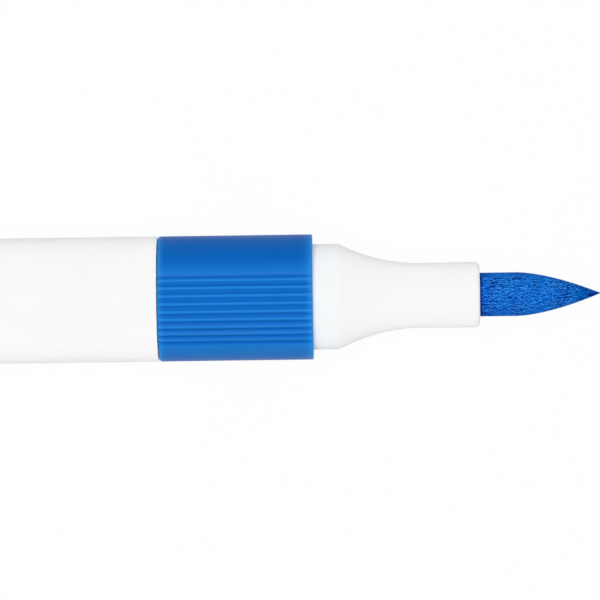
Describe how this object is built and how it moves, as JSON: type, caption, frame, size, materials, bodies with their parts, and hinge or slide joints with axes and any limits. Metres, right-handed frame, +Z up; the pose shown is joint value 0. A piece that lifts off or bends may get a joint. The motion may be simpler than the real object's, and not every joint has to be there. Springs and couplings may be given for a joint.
{
  "type": "acrylic paint marker",
  "caption": "Valve-action paint marker with a felted brush nib, white barrel and nose, ribbed blue screw collar and a push-on cap posted on the tail.",
  "frame": {"origin": "on the surface that the marker lies on, under the middle of its length", "axes": "+X along the marker's axis towards the nib, +Z up from the surface, +Y to the left seen from the tail"},
  "size_m": [0.1812, 0.014, 0.0139],
  "materials": {
    "barrel_white": "smooth moulded white polypropylene",
    "nose_white": "satin natural polypropylene, slightly translucent",
    "plastic_blue": "satin moulded blue plastic",
    "nib_fibre": "bonded fibre soaked with blue paint",
    "seal_rubber": "black nitrile rubber",
    "valve_plastic": "natural moulded plastic",
    "spring_steel": "drawn stainless wire",
    "ball_steel": "polished bearing steel",
    "liner_plastic": "soft natural polyethylene"
  },
  "bodies": {
    "barrel": {"barrel": "barrel_white", "end_plug": "plastic_blue"},
    "seal": {"front_seal": "seal_rubber"},
    "front": {"nose_cone": "nose_white", "grip_collar": "plastic_blue", "valve_body": "valve_plastic", "spring_retainer": "valve_plastic", "valve_spring": "spring_steel"},
    "nib": {"brush_nib": "nib_fibre"},
    "stem": {"valve_stem": "valve_plastic", "valve_washer": "seal_rubber"},
    "ball_front": {"mixing_ball_front": "ball_steel"},
    "ball_rear": {"mixing_ball_rear": "ball_steel"},
    "cap": {"cap_shell": "plastic_blue", "cap_liner": "liner_plastic"}
  },
  "joints": [
    {"name": "front_draw", "type": "slide", "parent": "barrel", "child": "seal", "axis": [1, 0, 0], "range_m": [0, 0.00601]},
    {"name": "front_turn", "type": "hinge", "parent": "seal", "child": "front", "pos_m": [0.0411, 0, 0.00697], "axis": [1, 0, 0], "range_deg": [0, 900]},
    {"name": "nib_press", "type": "slide", "parent": "front", "child": "nib", "axis": [-1, 0, 0], "range_m": [0, 0.0025], "stiffness_N_per_m": 900, "deforming": ["valve_spring"]},
    {"name": "stem_open", "type": "slide", "parent": "front", "child": "stem", "axis": [-1, 0, 0], "range_m": [0, 0.0025]},
    {"name": "ball_front_roll", "type": "slide", "parent": "barrel", "child": "ball_front", "axis": [1, 0, 0], "range_m": [-0.011, 0.017]},
    {"name": "ball_rear_roll", "type": "slide", "parent": "barrel", "child": "ball_rear", "axis": [1, 0, 0], "range_m": [-0.02, 0.011]},
    {"name": "cap_pull", "type": "slide", "parent": "barrel", "child": "cap", "axis": [-1, 0, 0], "range_m": [0, 0.025]}
  ],
  "couplings": [
    {"joint": "front_draw", "follows": "front_turn", "m_per_rad": 0.00038197},
    {"joint": "stem_open", "follows": "nib_press", "ratio": 1}
  ]
}
